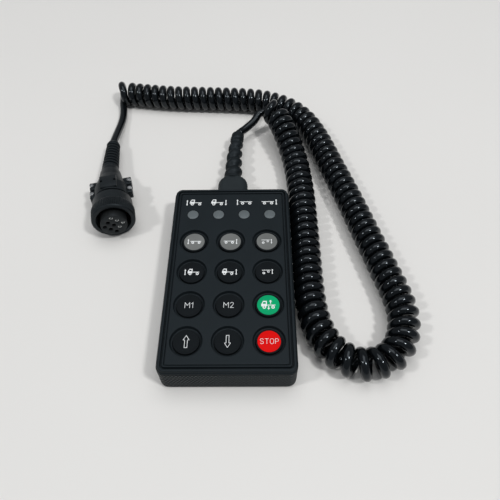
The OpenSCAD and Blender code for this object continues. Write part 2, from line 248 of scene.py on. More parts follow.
def add(tree, kind, **values):
    node = tree.nodes.new(kind)
    for key, value in values.items():
        if hasattr(node, key):
            setattr(node, key, value)
        else:
            node.inputs[key].default_value = value
    return node


def noise(tree, coords, scale, detail=3.0, roughness=0.5):
    texture = add(tree, "ShaderNodeTexNoise", Scale=scale, Detail=detail, Roughness=roughness)
    tree.links.new(coords, texture.inputs["Vector"])
    return texture.outputs["Fac"]


def ramp(tree, source, low, high, start=0.3, end=0.7):
    """A colour or grey that goes from low to high as source does from start to end."""
    node = add(tree, "ShaderNodeValToRGB")
    stops = node.color_ramp.elements
    for stop, position, value in ((stops[0], start, low), (stops[1], end, high)):
        stop.position = position
        stop.color = (*value, 1) if hasattr(value, "__len__") else (value, value, value, 1)
    tree.links.new(source, node.inputs["Fac"])
    return node.outputs["Color"]


def bump(tree, shader, height, distance, strength=1.0):
    node = add(tree, "ShaderNodeBump", Strength=strength, Distance=distance)
    tree.links.new(height, node.inputs["Height"])
    tree.links.new(node.outputs["Normal"], shader.inputs["Normal"])


# Tint of the sheen on black plastic and rubber
BLUISH = (0.78, 0.90, 1.0)


def moulded(name, color, roughness, grain=0.35, depth=0.02, spread=0.12, coat=0.0, specular=0.5):
    """Moulded plastic or rubber: fine grain, a little unevenness in tone, and a roughness that wanders."""
    material, tree, shader = new_material(name)
    coords = add(tree, "ShaderNodeTexCoord").outputs["Object"]
    broad = noise(tree, coords, 60, 4)
    fine = noise(tree, coords, 1 / (grain * MM), 2)
    dark = [c * (1 - spread) for c in color]
    light = [c * (1 + spread) for c in color]
    tree.links.new(ramp(tree, broad, dark, light), shader.inputs["Base Color"])
    worn = ramp(tree, broad, max(0.02, roughness - 0.05), roughness + 0.05)
    tree.links.new(worn, shader.inputs["Roughness"])
    shader.inputs["Specular IOR Level"].default_value = specular
    shader.inputs["Specular Tint"].default_value = (*BLUISH, 1)
    shader.inputs["Coat Weight"].default_value = coat
    shader.inputs["Coat Roughness"].default_value = 0.12
    if depth:
        bump(tree, shader, fine, depth * MM)
    return material


def diamond_grain_with_painted_shade(name, color, roughness, pitch, depth, specular):
    """Moulded plastic with a fine diamond grain that shows on upright faces of any direction. Its colour
    follows the grain's ridges: painted shade in the grooves and a painted highlight on the crests.
    """
    material, tree, shader = new_material(name)
    coords = add(tree, "ShaderNodeTexCoord").outputs["Object"]
    split = add(tree, "ShaderNodeSeparateXYZ")
    tree.links.new(coords, split.inputs[0])

    def math(operation, a, b):
        node = add(tree, "ShaderNodeMath", operation=operation)
        for socket, value in zip(node.inputs, (a, b)):
            if isinstance(value, (int, float)):
                socket.default_value = value
            else:
                tree.links.new(value, socket)
        return node.outputs[0]

    def wave(along, period, shift=0.0):
        return math("SINE", math("ADD", math("MULTIPLY", along, 2 * pi / (period * MM)), shift), 0.0)

    x, y, z = split.outputs
    level = math("ADD", wave(x, pitch), wave(y, pitch))
    ridges = math("MULTIPLY", level, wave(z, pitch * 1.65, pi / 2))
    fine = noise(tree, coords, 3500, 2)
    height = math("ADD", ridges, math("MULTIPLY", fine, 0.8))
    # Painted shade and highlight: the base colour is darker in the grain's grooves and lighter on its crests
    dark = [c * 0.3 for c in color]
    light = [c * 2.1 for c in color]
    tree.links.new(ramp(tree, ridges, dark, light, 0.0, 0.6), shader.inputs["Base Color"])
    worn = ramp(tree, ridges, roughness + 0.08, roughness - 0.06, 0.1, 1.0)
    tree.links.new(worn, shader.inputs["Roughness"])
    shader.inputs["Specular IOR Level"].default_value = specular
    shader.inputs["Specular Tint"].default_value = (*BLUISH, 1)
    bump(tree, shader, height, depth * MM)
    return material


def metal(name, color, roughness, scratch=0.0):
    material, tree, shader = new_material(name)
    coords = add(tree, "ShaderNodeTexCoord").outputs["Object"]
    broad = noise(tree, coords, 400, 3)
    dark = [c * 0.8 for c in color]
    tree.links.new(ramp(tree, broad, dark, color), shader.inputs["Base Color"])
    tree.links.new(ramp(tree, broad, roughness, roughness + 0.12), shader.inputs["Roughness"])
    shader.inputs["Metallic"].default_value = 1.0
    if scratch:
        bump(tree, shader, noise(tree, coords, 2500, 2), scratch * MM)
    return material


PANEL = moulded("panel_plastic", (0.0080, 0.0112, 0.0132), 0.52, grain=0.30, depth=0.012, specular=0.16)
TUB = diamond_grain_with_painted_shade("tub_grain_and_painted_shade", (0.0095, 0.0148, 0.0170), 0.45, 2.041, 0.30, 0.11)
KEY_BLACK = moulded("key_black", (0.0066, 0.0082, 0.0094), 0.62, grain=0.45, depth=0.030, specular=0.07)
KEY_GREY = moulded("key_grey", (0.150, 0.156, 0.152), 0.60, grain=0.45, depth=0.015, specular=0.1)
KEY_GREEN = moulded("key_green", (0.003, 0.330, 0.130), 0.60, grain=0.45, depth=0.015, specular=0.07)
KEY_RED = moulded("key_red", (0.700, 0.004, 0.003), 0.60, grain=0.45, depth=0.015, specular=0.07)
PRINT = moulded("print_white", (0.78, 0.80, 0.80), 0.45, depth=0, spread=0.03)
WINDOW = moulded("window_smoke", (0.095, 0.110, 0.115), 0.40, grain=0.6, depth=0.006, coat=0.1)
CORD = moulded("cord_jacket", (0.0026, 0.0034, 0.0042), 0.13, grain=2.5, depth=0.010, spread=0.2,
               coat=0.15, specular=0.27)
GLAND = moulded("gland_rubber", (0.0150, 0.0190, 0.0210), 0.50, grain=0.5, depth=0.008, specular=0.22)
RELIEF = moulded("relief_rubber", (0.0075, 0.0100, 0.0115), 0.50, grain=0.5, depth=0.008, specular=0.2)
PLUG = moulded("plug_plastic", (0.0080, 0.0100, 0.0112), 0.42, grain=0.4, depth=0.010, specular=0.25)
INSERT = moulded("insert_plastic", (0.0100, 0.0110, 0.0115), 0.45, grain=0.4, depth=0.010, specular=0.25)
MAT_RUBBER = moulded("mat_rubber", (0.05, 0.06, 0.07), 0.6, depth=0.01)
SEAL = moulded("seal_rubber", (0.03, 0.03, 0.03), 0.6, depth=0.01)
SEAL_ORANGE = moulded("seal_orange", (0.25, 0.05, 0.006), 0.4, depth=0.005)
STEEL = metal("screw_steel", (0.56, 0.57, 0.58), 0.28, 0.004)
SPRING = metal("spring_steel", (0.45, 0.46, 0.48), 0.32)
BRASS = metal("insert_brass", (0.70, 0.50, 0.20), 0.30)
CONTACT = metal("contact_plating", (0.80, 0.82, 0.82), 0.16)
BOARD = moulded("board_green", (0.010, 0.090, 0.030), 0.35, grain=0.3, depth=0.004)
CHIP = moulded("chip_black", (0.012, 0.012, 0.013), 0.55, depth=0.006)
PILL = moulded("pill_carbon", (0.010, 0.010, 0.010), 0.8, depth=0.01)
CAN = metal("can_aluminium", (0.80, 0.80, 0.82), 0.25)
IVORY = moulded("header_ivory", (0.70, 0.66, 0.52), 0.45, depth=0.006)
LED = moulded("led_white", (0.80, 0.80, 0.72), 0.25, depth=0)
LEAD = moulded("lead_orange", (0.55, 0.10, 0.02), 0.45, depth=0.004)


# ---------------------------------------------------------------- cord

CORD_D = 5.7
COIL_D = 18.4
PITCH = 6.4
TURN_STEPS = 28
FIRST_TURN_OPENING = 3.2
# The coil's axis and the plain cord at each end of it, as in part.scad, in millimetres
COIL_ROUTE = [
    (17.6, 147.9, 19.8), (28.5, 142.5, 18.6), (34, 133, 17.3), (37.5, 122.5, 15.5), (40.6, 112, 12.8),
    (44, 97, 9.8), (46, 74, 9.3), (46.5, 48, 9.3), (46.5, 20, 9.3), (46.5, -6, 9.3),
    (48, -25, 9.3), (53, -40, 9.3), (62, -50, 9.3), (74, -54, 9.3), (87, -50, 9.3),
    (95, -40, 9.3), (98.5, -26, 9.3), (97, -11, 9.3), (92, 9, 9.3), (85, 36, 9.3),
    (77.3, 66, 9.3), (69, 95.5, 9.3), (61.5, 122.5, 9.3), (52.8, 143.5, 9.3), (41.3, 157.3, 9.3),
    (26, 165.7, 9.3), (8, 169.6, 9.3), (-20, 171.6, 9.3), (-52, 173.6, 9.3), (-84, 178.3, 9.3),
    (-95.3, 180.4, 9.3),
]
HANDSET_TAIL = [
    (0, 62, 10.4), (0, 84.25, 10.4), (1.2, 106, 9.75), (2.4, 127.5, 9.1), (4.3, 131.7, 9),
    (8.7, 136.2, 9.3), (14.3, 141.8, 10.8),
]
PLUG_TAIL = [(-91.9, 174, 3), (-90.4, 166, 3), (-89.6, 158, 3.1), (-89.7, 149, 3.5), (-90.2, 137, 5.3)]
# Places along the plug's own axis, which runs forward out of its mouth from z = 0
BOOT_Z, BOOT_END, CORD_STOP = -51, -81, -47.6
PLUG_TAIL_ENDS = (BOOT_END - 4, BOOT_END, -66, BOOT_Z, CORD_STOP)
BOOT_BEND = 7.5
# The first turns are pulled open and lean back; the last turn leans out towards its tail
OPEN_LENGTH = 21
LEAN_LENGTH = 22
FIRST_TURN_LEAN, LAST_TURN_LEAN = 1.4, 3.2


def curve_point(p0, p1, p2, p3, t):
    return 0.5 * (2 * p1 + (p2 - p0) * t + (2 * p0 - 5 * p1 + 4 * p2 - p3) * t * t
                  + (3 * p1 - p0 - 3 * p2 + p3) * t ** 3)


def smooth_route(route, steps):
    """Points along a smooth curve through a route's own points."""
    p = [Vector(q) for q in route]
    q = [2 * p[0] - p[1], *p, 2 * p[-1] - p[-2]]
    points = [curve_point(*q[i:i + 4], s / steps) for i in range(len(p) - 1) for s in range(steps)]
    return [*points, p[-1]]


def along_route(points):
    """The points' whole length, and a function that gives the place and direction at a distance."""
    distance = [0.0]
    for a, b in zip(points, points[1:]):
        distance.append(distance[-1] + (b - a).length)

    def at(s):
        low, high = 0, len(points) - 1
        while high - low > 1:
            middle = (low + high) // 2
            if distance[middle] <= s:
                low = middle
            else:
                high = middle
        share = (s - distance[low]) / (distance[high] - distance[low])
        return points[low].lerp(points[high], share), (points[high] - points[low]).normalized()

    return distance[-1], at


def coil_turns():
    """The helix's points. Turns lie side by side, and fan open round a bend so as not to cross inside it."""
    whole_length, at = along_route(smooth_route(COIL_ROUTE, 24))
    length = whole_length - CORD_D
    radius = (COIL_D - CORD_D) / 2
    count = round(length / 0.25)

    def along(i):
        return at(CORD_D / 2 + min(i, count) * length / count)

    headings = [along(i)[1] for i in range(count + 1)]
    window = 24
    rate = []
    for i in range(count + 1):
        a, b = max(0, i - window), min(count, i + window)
        bend = headings[a].angle(headings[b]) / ((b - a) * length / count)
        opening = 1 + FIRST_TURN_OPENING * max(0.0, 1 - i * length / count / OPEN_LENGTH) ** 2
        rate.append(1 / max(PITCH * opening, (CORD_D + 0.1) / (1 - radius * bend)))
    turns = [0.0]
    for a, b in zip(rate, rate[1:]):
        turns.append(turns[-1] + (a + b) / 2 * length / count)
    whole = round(turns[-1])
    points = []
    i = 0
    for k in range(whole * TURN_STEPS + 1):
        turn = k / TURN_STEPS * turns[-1] / whole
        while i < count - 1 and turns[i + 1] < turn:
            i += 1
        share = (turn - turns[i]) / (turns[i + 1] - turns[i])
        place, heading = along(i + share)
        left = UP.cross(heading).normalized()
        top = heading.cross(left)
        angle = 2 * pi * k / TURN_STEPS - pi / 2
        first = max(0.0, 1 - (i + share) * length / count / LEAN_LENGTH)
        last = min(1.0, (whole - k / TURN_STEPS) / 0.6)
        lean = LAST_TURN_LEAN * sin(pi * last) - FIRST_TURN_LEAN * first * (1 - cos(angle))
        points.append(place + radius * (cos(angle) * left + sin(angle) * top) + lean * heading)
    return points, whole


plug_joint = next(j for j in frame["joints"] if j["name"] == "coupling_turn")
PLUG_AXIS = Vector(plug_joint["axis"])
PLUG_POS = Vector(plug_joint["pos_m"]) / MM
PLUG_SIDE = UP.cross(PLUG_AXIS).normalized()
PLUG_PLACE = Matrix.Translation(PLUG_POS) @ Matrix(
    (PLUG_SIDE, PLUG_AXIS.cross(PLUG_SIDE), PLUG_AXIS)).transposed().to_4x4()


def plug_point(z):
    return PLUG_POS + z * PLUG_AXIS


BOOT_AXIS = PLUG_AXIS.copy()
BOOT_AXIS.rotate(Matrix.Rotation(radians(-BOOT_BEND), 3, "Z"))


def boot_point(z):
    return plug_point(BOOT_Z) + (z - BOOT_Z) * BOOT_AXIS


def make_cord():
    turns, whole = coil_turns()
    start = smooth_route([*HANDSET_TAIL, turns[0], turns[2]], 6)[:-6]
    plug_tail = [*PLUG_TAIL, *map(boot_point, PLUG_TAIL_ENDS)]
    end = smooth_route([turns[-3], turns[-1], *plug_tail], 6)[6:]
    points = [*start[:-1], *turns, *end[1:]]
    data = bpy.data.curves.new("curly_cord", "CURVE")
    data.dimensions = "3D"
    data.bevel_depth = CORD_D / 2 * MM
    data.bevel_resolution = 5
    data.use_fill_caps = True
    spline = data.splines.new("POLY")
    spline.points.add(len(points) - 1)
    for point, place in zip(spline.points, points):
        point.co = (*(place * MM), 1)
    spline.use_smooth = True
    data.materials.append(CORD)
    cord = bpy.data.objects.new("curly_cord", data)
    bpy.context.scene.collection.objects.link(cord)
    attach(cord, "handset")
    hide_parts("cord_tail_handset", "cord_coil", "cord_tail_connector")
    length = sum((b - a).length for a, b in zip(points, points[1:])) * MM
    print("cord length", round(length, 4), "turns", whole)
    return cord, length


cord, cord_length = make_cord()


# ---------------------------------------------------------------- case

CASE_LOW, CASE_HIGH = node_box("rear_cover")[:2]
CASE_W, CASE_L = CASE_HIGH.x - CASE_LOW.x, CASE_HIGH.y - CASE_LOW.y
SPLIT_Z = CASE_HIGH.z
CASE_TOP = node_box("front_cover")[1].z
CORNER_R = 4.8
WALL = 3
FLOOR_T = 2.4
LEDGE_W = 0.75
RIM_W = 1.5
GROOVE_W = 0.9
GROOVE_DEPTH = 1.8
BEAD_W = 1.1
DITCH_W = 0.5
PANEL_Z = CASE_TOP - 0.6
WELL_R, KEY_BORE_R, WELL_DEPTH = 8.8, 7.45, 2.2
WINDOW_R = 3.6
KEYS = [n for n in nodes if n.startswith("key_")]
SCREW_PLACES = [(x, y) for x in (-29.8, 29.8) for y in (56.5, -12.2, -56.5)]


def inset_outline(inset, steps=8):
    return rounded_rect(CASE_W - 2 * inset, CASE_L - 2 * inset, max(1.0, CORNER_R - inset), steps)


def lathe_piece(profile, place, segments=64, name="cutter", material=None, body=None, **options):
    bm = bmesh.new()
    lathe(bm, profile, segments, **options)
    return placed(name, bm, material or PANEL, body, Matrix.Translation(place))


def make_front_cover():
    rim = LEDGE_W + RIM_W
    bead = rim + GROOVE_W
    ditch = bead + BEAD_W
    side = fillet([
        (0.3, SPLIT_Z), (0.3, SPLIT_Z + 0.25), (0, SPLIT_Z + 0.4, 0.15), (0, SPLIT_Z + 0.9, 0.4),
        (LEDGE_W, SPLIT_Z + 1.9, 0.2), (LEDGE_W, CASE_TOP, 0.6), (rim, CASE_TOP, 0.3),
        (rim, CASE_TOP - GROOVE_DEPTH), (bead, CASE_TOP - GROOVE_DEPTH), (bead, CASE_TOP, 0.5),
        (ditch, CASE_TOP, 0.5), (ditch, PANEL_Z - DITCH_W * 1.4), (ditch + DITCH_W, PANEL_Z - DITCH_W * 1.4),
        (ditch + DITCH_W, PANEL_Z),
    ])
    lip = WALL + 0.2
    lip_t, lip_h = 1.2, 2
    underside = [
        (lip + lip_t, SPLIT_Z), (lip + lip_t, SPLIT_Z - lip_h), (lip, SPLIT_Z - lip_h), (lip, SPLIT_Z),
    ]
    layers = [(inset_outline(inset), z) for inset, z in [*underside, *side]]
    bm = bmesh.new()
    stack(bm, layers)
    cover = placed("front_cover_shell", bm, PANEL, None)
    cutters = []
    floor_z = PANEL_Z - WELL_DEPTH
    well = fillet([
        (0, SPLIT_Z - 1), (KEY_BORE_R, SPLIT_Z - 1), (KEY_BORE_R, floor_z),
        (WELL_R - 0.5, floor_z + 0.2, 0.2), (WELL_R, PANEL_Z, 0.25),
        (WELL_R + 1, PANEL_Z), (WELL_R + 1, PANEL_Z + 1), (0, PANEL_Z + 1),
    ], 5)
    for key in KEYS:
        centre = node_box(key)[2]
        cutters.append(lathe_piece(well, (centre.x, centre.y, 0), 96))
    hole = fillet([
        (0, SPLIT_Z - 1), (WINDOW_R, SPLIT_Z - 1), (WINDOW_R, PANEL_Z, 0.2),
        (WINDOW_R + 1, PANEL_Z), (WINDOW_R + 1, PANEL_Z + 1), (0, PANEL_Z + 1),
    ])
    for place in window_places():
        cutters.append(lathe_piece(hole, (place.x, place.y, 0), 64))
    carve(cover, cutters)
    smooth_by(cover, 32)
    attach(cover, "handset")
    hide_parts("front_cover")
    return cover


def window_places():
    low, high, middle = node_box("indicator_lenses")
    flange = high.y - low.y
    pitch = (high.x - low.x - flange) / 3
    return [Vector((middle.x + i * pitch, middle.y, 0)) for i in (-1.5, -0.5, 0.5, 1.5)]


def make_rear_cover():
    foot_r = 2.6
    layers = []
    for i in range(7):
        angle = radians(90) * i / 6
        layers.append((foot_r * (1 - sin(angle)), foot_r * (1 - cos(angle))))
    layers += [
        (0, SPLIT_Z - 0.3), (0.3, SPLIT_Z), (WALL, SPLIT_Z), (WALL, FLOOR_T + 0.8), (WALL + 0.8, FLOOR_T),
    ]
    bm = bmesh.new()
    stack(bm, [(inset_outline(inset), z) for inset, z in layers])
    tub = placed("rear_cover_shell", bm, TUB, None)
    recess = fillet([(0, -1), (3.4, -1), (3.4, 0), (3.0, 0.4), (3.0, 3.4), (1.65, 3.4), (1.65, 6), (0, 6)])
    cutters = []
    for x, y in SCREW_PLACES:
        cutters.append(lathe_piece(recess, (x, y, 0), 48))
    carve(tub, cutters)
    smooth_by(tub, 32)
    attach(tub, "handset")
    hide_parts("rear_cover")
    return tub


make_rear_cover()
make_front_cover()


# ---------------------------------------------------------------- keys and windows

KEY_TINTS = {
    "key_trailer_front": KEY_GREY, "key_trailer_rear": KEY_GREY, "key_trailer_lift_axle": KEY_GREY,
    "key_ride_height": KEY_GREEN, "key_stop": KEY_RED,
}
FILM_R = 6.2
FILM_STEP = 0.05
PRINT_T = 0.03


def make_keys():
    for name in KEYS:
        low, high, centre = node_box(name)
        tint = KEY_TINTS.get(name, KEY_BLACK)
        flange_r = (high.x - low.x) / 2
        cap_r = flange_r - 0.85
        rim = 0.16 if tint is not KEY_BLACK else 0.10
        profile = fillet([
            (0, low.z), (flange_r, low.z, 0.2), (flange_r, low.z + 1.6, 0.2), (cap_r, low.z + 1.6),
            (cap_r, high.z - FILM_STEP, 0.55), (FILM_R + 0.25, high.z - FILM_STEP, 0.08),
            (FILM_R + 0.1, high.z - rim), (0, high.z - rim),
        ])
        cap = lathe_piece(profile, (centre.x, centre.y, 0), 96, f"cap_{name[4:]}", KEY_BLACK, name)
        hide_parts(name)
        disc = fillet([
            (0, high.z - rim), (FILM_R, high.z - rim), (FILM_R, high.z - PRINT_T, 0.1), (0, high.z - PRINT_T),
        ])
        film = lathe_piece(disc, (centre.x, centre.y, 0), 96, f"disc_{name[4:]}", tint, name)


make_keys()


def make_windows():
    low, high, middle = node_box("indicator_lenses")
    profile = fillet([
        (0, low.z), (2.4, low.z, 0.2), (2.4, SPLIT_Z - 1), (4.4, SPLIT_Z - 1, 0.1), (4.4, SPLIT_Z, 0.1),
        (3.5, SPLIT_Z), (3.5, high.z, 0.35), (0, high.z + 0.1),
    ])
    bm = bmesh.new()
    for place in window_places():
        before = set(bm.verts)
        lathe(bm, profile, 64)
        bmesh.ops.translate(bm, vec=(place.x, place.y, 0), verts=[v for v in bm.verts if v not in before])
    lenses = placed("indicator_windows", bm, WINDOW, "handset")
    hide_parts("indicator_lenses")


make_windows()


# ---------------------------------------------------------------- keypad mat

MAT_T = 1.2
DOME_R, DOME_TOP_R, DOME_ROOF = 5.6, 3.3, 1.05
HOLLOW_R, HOLLOW_TOP_R = 4.6, 2.5


def make_mat():
    """The silicone sheet on the board, and a hollow dome under each key."""
    low, high, middle = node_box("keypad_mat")
    sheet_top = low.z + MAT_T
    bm = bmesh.new()
    outline = rounded_rect(high.x - low.x, high.y - low.y, 1.5, 4)
    stack(bm, [(outline, low.z), (outline, sheet_top)])
    sheet = placed("mat_sheet", bm, MAT_RUBBER, None, Matrix.Translation((middle.x, middle.y, 0)))

    def hole(place, radius):
        profile = [(0, low.z - 1), (radius, low.z - 1), (radius, sheet_top + 1), (0, sheet_top + 1)]
        return lathe_piece(profile, (place[0], place[1], 0), 32)

    key_places = [node_box(key)[2] for key in KEYS]
    carve(sheet, [
        *(hole(place, 3) for place in window_places()), *(hole(place, HOLLOW_R) for place in key_places),
        *(hole(place, 3.5) for place in SCREW_PLACES),
    ])
    smooth_by(sheet, 32)
    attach(sheet, "handset")
    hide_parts("keypad_mat")
    ceiling = high.z - DOME_ROOF
    dome = fillet([
        (HOLLOW_R, low.z), (DOME_R, low.z), (DOME_R, sheet_top, 0.3), (DOME_TOP_R, high.z, 0.4),
        (0, high.z), (0, ceiling), (HOLLOW_TOP_R, ceiling, 0.3),
    ])
    for key, place in zip(KEYS, key_places):
        name = key[4:]
        spot = (place.x, place.y, 0)
        piece = lathe_piece(dome, spot, 48, f"dome_{name}", MAT_RUBBER, "handset", closed=True)
        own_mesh(piece)


make_mat()


# ---------------------------------------------------------------- printed legends

def box_shape(x0, y0, x1, y1):
    return [(x0, y0), (x1, y0), (x1, y1), (x0, y1)]


def disc_shape(x, y, r, steps=20):
    return [(x + r * cos(2 * pi * i / steps), y + r * sin(2 * pi * i / steps)) for i in range(steps)]


def ring_shapes(x, y, outer, inner, steps=20):
    """A flat ring, as short blocks that meet end to end."""
    shapes = []
    for i in range(steps):
        a, b = 2 * pi * i / steps, 2 * pi * (i + 1) / steps
        corners = ((inner, a), (outer, a), (outer, b), (inner, b))
        shapes.append([(x + r * cos(t), y + r * sin(t)) for r, t in corners])
    return shapes


def moved(shapes, dx, dy=0.0, scale=1.0):
    return [[(x * scale + dx, y * scale + dy) for x, y in shape] for shape in shapes]


def height_arrow(half=1.45, width=0.3):
    """A short upright line with an arrow head at each end."""
    head = 0.6
    return [
        box_shape(-width / 2, -half + head, width / 2, half - head),
        [(-0.4, half - head), (0.4, half - head), (0, half)],
        [(0.4, -half + head), (-0.4, -half + head), (0, -half)],
    ]


def arrow_head(x, y, direction):
    """An upright arrow with one head, centred on (x, y)."""
    shapes = [box_shape(-0.16, -0.7, 0.16, 0.1), [(-0.5, 0.1), (0.5, 0.1), (0, 0.75)]]
    if direction < 0:
        shapes = [[(px, -py) for px, py in reversed(shape)] for shape in shapes]
    return moved(shapes, x, y)


def cab():
    """A tractor's cab seen from its left side, with a window, facing -X."""
    return [
        [(-1.75, -0.75), (-1.3, -0.75), (-1.3, 0.2), (-1.75, 0.05)],
        [(-1.75, 0.05), (-1.3, 0.2), (-1.1, 0.95), (-1.35, 0.95)],
        [(-1.35, 0.95), (0.15, 0.95), (0.15, 1.35), (-1.1, 1.35)],
        box_shape(-0.2, 0.2, 0.15, 0.95),
        box_shape(-1.3, -0.75, 0.15, 0.2),
    ]


def wheels(*places, y=-1.05, r=0.6):
    return [s for x in places for s in ring_shapes(x, y, r, 0.26)]


def truck():
    return [*cab(), box_shape(0.15, -0.4, 3.0, -0.12), *wheels(-0.75, 2.2)]


def trailer():
    return [box_shape(-2.4, -0.4, 2.4, -0.12), *wheels(-1.3, 1.5)]


def raised_axle():
    """A frame with one wheel on the ground, one lifted, and a two-headed arrow beside them."""
    return [
        box_shape(-2.3, 0.55, 1.5, 0.82), *wheels(-1.5, y=-0.85), *wheels(0.55, y=-0.15, r=0.5),
        *moved(height_arrow(1.35, 0.28), 2.3, -0.1),
    ]


def to_width(shapes, width):
    """Shapes moved and scaled so that they are centred on the origin and as wide as given."""
    xs = [x for shape in shapes for x, y in shape]
    ys = [y for shape in shapes for x, y in shape]
    scale = width / (max(xs) - min(xs))
    return moved(shapes, -scale * (max(xs) + min(xs)) / 2, -scale * (max(ys) + min(ys)) / 2, scale)


def stroke(points, width, closed=False):
    """A line of even width through points: a four-sided block for each stretch and a disc at each bend."""
    shapes = []
    p = [Vector(q) for q in points]
    for a, b in zip(p, p[1:] + (p[:1] if closed else [])):
        side = (b - a).orthogonal().normalized() * width / 2
        shapes.append([tuple(a - side), tuple(b - side), tuple(b + side), tuple(a + side)])
    shapes += [disc_shape(q.x, q.y, width / 2, 10) for q in p]
    return shapes


def outline_arrow(direction):
    points = [(-0.75, -3.5), (0.75, -3.5), (0.75, 0.9), (1.65, 0.9), (0, 3.5), (-1.65, 0.9), (-0.75, 0.9)]
    return stroke([(x, y * direction) for x, y in points], 0.27, closed=True)


# Each letter's strokes in a cell 2 high, and how far the next letter starts from it
LETTERS = {
    "M": ([(0, 0), (0, 2), (0.8, 0.9), (1.6, 2), (1.6, 0)], 2.15),
    "1": ([(0, 1.55), (0.5, 2), (0.5, 0)], 1.1),
    "2": ([(0, 1.5), (0.15, 1.85), (0.6, 2), (1.05, 1.85), (1.15, 1.45), (0.95, 1.05), (0, 0),
           (1.2, 0)], 1.7),
    "S": ([(1.15, 1.7), (0.85, 2), (0.3, 2), (0, 1.7), (0, 1.35), (0.3, 1.08), (0.85, 0.95), (1.15, 0.68),
           (1.15, 0.3), (0.85, 0), (0.3, 0), (0, 0.3)], 1.75),
    "T": ([(0, 2), (1.3, 2), (0.65, 2), (0.65, 0)], 1.85),
    "O": ([(0.35, 0), (0, 0.4), (0, 1.6), (0.35, 2), (0.95, 2), (1.3, 1.6), (1.3, 0.4), (0.95, 0),
           (0.35, 0)], 1.9),
    "P": ([(0, 0), (0, 2), (0.85, 2), (1.15, 1.75), (1.15, 1.2), (0.85, 0.95), (0, 0.95)], 1.5),
}


def word(text, height, weight):
    shapes = []
    x = 0.0
    for letter in text:
        points, advance = LETTERS[letter]
        shapes += stroke([(x + px, py) for px, py in points], weight)
        x += advance
    width = x - 0.55
    scale = height / 2
    return moved(shapes, -width / 2 * scale, -height / 2, scale)


# Shapes that overlap in a legend lie this much apart, so that no two faces share a plane
OVERLAP_STEP = 0.0004


def print_legend(name, shapes, place, top, body):
    bm = bmesh.new()
    for k, shape in enumerate(shapes):
        level = top + OVERLAP_STEP * (k % 7)
        prism(bm, [(place.x + x, place.y + y) for x, y in shape], level, level + PRINT_T)
    legend = placed(name, bm, PRINT, body, smooth_angle=20)
    return legend


LEGEND_ABOVE_WINDOW = 9.85


def make_legends():
    arrow = height_arrow()
    front = [*trailer(), *moved(arrow, -3.3, -0.5)]
    rear = [*trailer(), *moved(arrow, 3.3, -0.5)]
    height = [*truck(), *arrow_head(1.4, 1.0, 1), *arrow_head(0.72, -1.3, -1)]
    legends = {
        "key_trailer_front": to_width(front, 8.4),
        "key_trailer_rear": to_width(rear, 8.4),
        "key_trailer_lift_axle": to_width(raised_axle(), 6.5),
        "key_truck_front": to_width([*truck(), *moved(arrow, -2.8, -0.3)], 8.8),
        "key_truck_rear": to_width([*truck(), *moved(arrow, 4.0, -0.3)], 8.8),
        "key_truck_lift_axle": to_width(raised_axle(), 6.5),
        "key_memory_1": word("M1", 3.3, 0.15),
        "key_memory_2": word("M2", 3.3, 0.15),
        "key_ride_height": to_width(height, 7.8),
        "key_raise": outline_arrow(1),
        "key_lower": outline_arrow(-1),
        "key_stop": word("STOP", 2.9, 0.145),
    }
    for name, shapes in legends.items():
        high, centre = node_box(name)[1:]
        print_legend(f"legend_{name[4:]}", shapes, centre, high.z - PRINT_T, name)
    vehicles = [
        [*truck(), *moved(arrow, -2.8, -0.3)],
        [*truck(), *moved(arrow, 4.0, -0.3)],
        front,
        rear,
    ]
    for i, (place, shapes) in enumerate(zip(window_places(), vehicles)):
        spot = place + Vector((0, LEGEND_ABOVE_WINDOW, 0))
        print_legend(f"legend_window_{i + 1}", to_width(shapes, 10), spot, PANEL_Z, "handset")


make_legends()


# ---------------------------------------------------------------- gland and strain relief

def make_gland():
    """The moulded shoulder on the case's end wall: a rounded block that necks in to the sleeve."""
    low, high, centre = node_box("cord_gland")
    wall_y = CASE_HIGH.y
    half_w = (high.x - low.x) / 2
    half_h = (high.z - low.z) / 2
    bm = bmesh.new()
    straight, shoulder = 9.8, 6.9
    neck_w, neck_h = 6.0, 5.6
    wide_edge, neck_edge = 4.2, 5.4
    layers = [(rounded_rect(2 * half_w, 2 * half_h, wide_edge, 8), 0)]
    for i in range(9):
        angle = radians(90) * i / 8
        w = neck_w + (half_w - neck_w) * cos(angle)
        h = neck_h + (half_h - neck_h) * cos(angle)
        edge = wide_edge + (neck_edge - wide_edge) * i / 8
        layers.append((rounded_rect(2 * w, 2 * h, edge, 8), straight + shoulder * sin(angle)))
    stack(bm, layers)
    turn = Matrix(((1, 0, 0, 0), (0, 0, 1, wall_y), (0, -1, 0, centre.z), (0, 0, 0, 1)))
    gland = placed("cord_gland_shoulder", bm, GLAND, "handset", turn, 50)
    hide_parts("cord_gland")
    return gland


RELIEF_START = Vector(HANDSET_TAIL[1])
RELIEF_END = Vector(HANDSET_TAIL[3])
RELIEF_ROOT = -5.5
RELIEF_ROOT_R, RELIEF_TIP_R = 6.35, 4.6
RELIEF_TURNS = 4.6
RELIEF_COLLAR = 4.6
RELIEF_BOW = 0.7
BORE_R = CORD_D / 2 + 0.15


def pointing(start, end):
    """Places z = 0 at start with +Z towards end, and +Y up."""
    heading = (end - start).normalized()
    side = UP.cross(heading).normalized()
    return Matrix.Translation(start) @ Matrix((side, heading.cross(side), heading)).transposed().to_4x4()


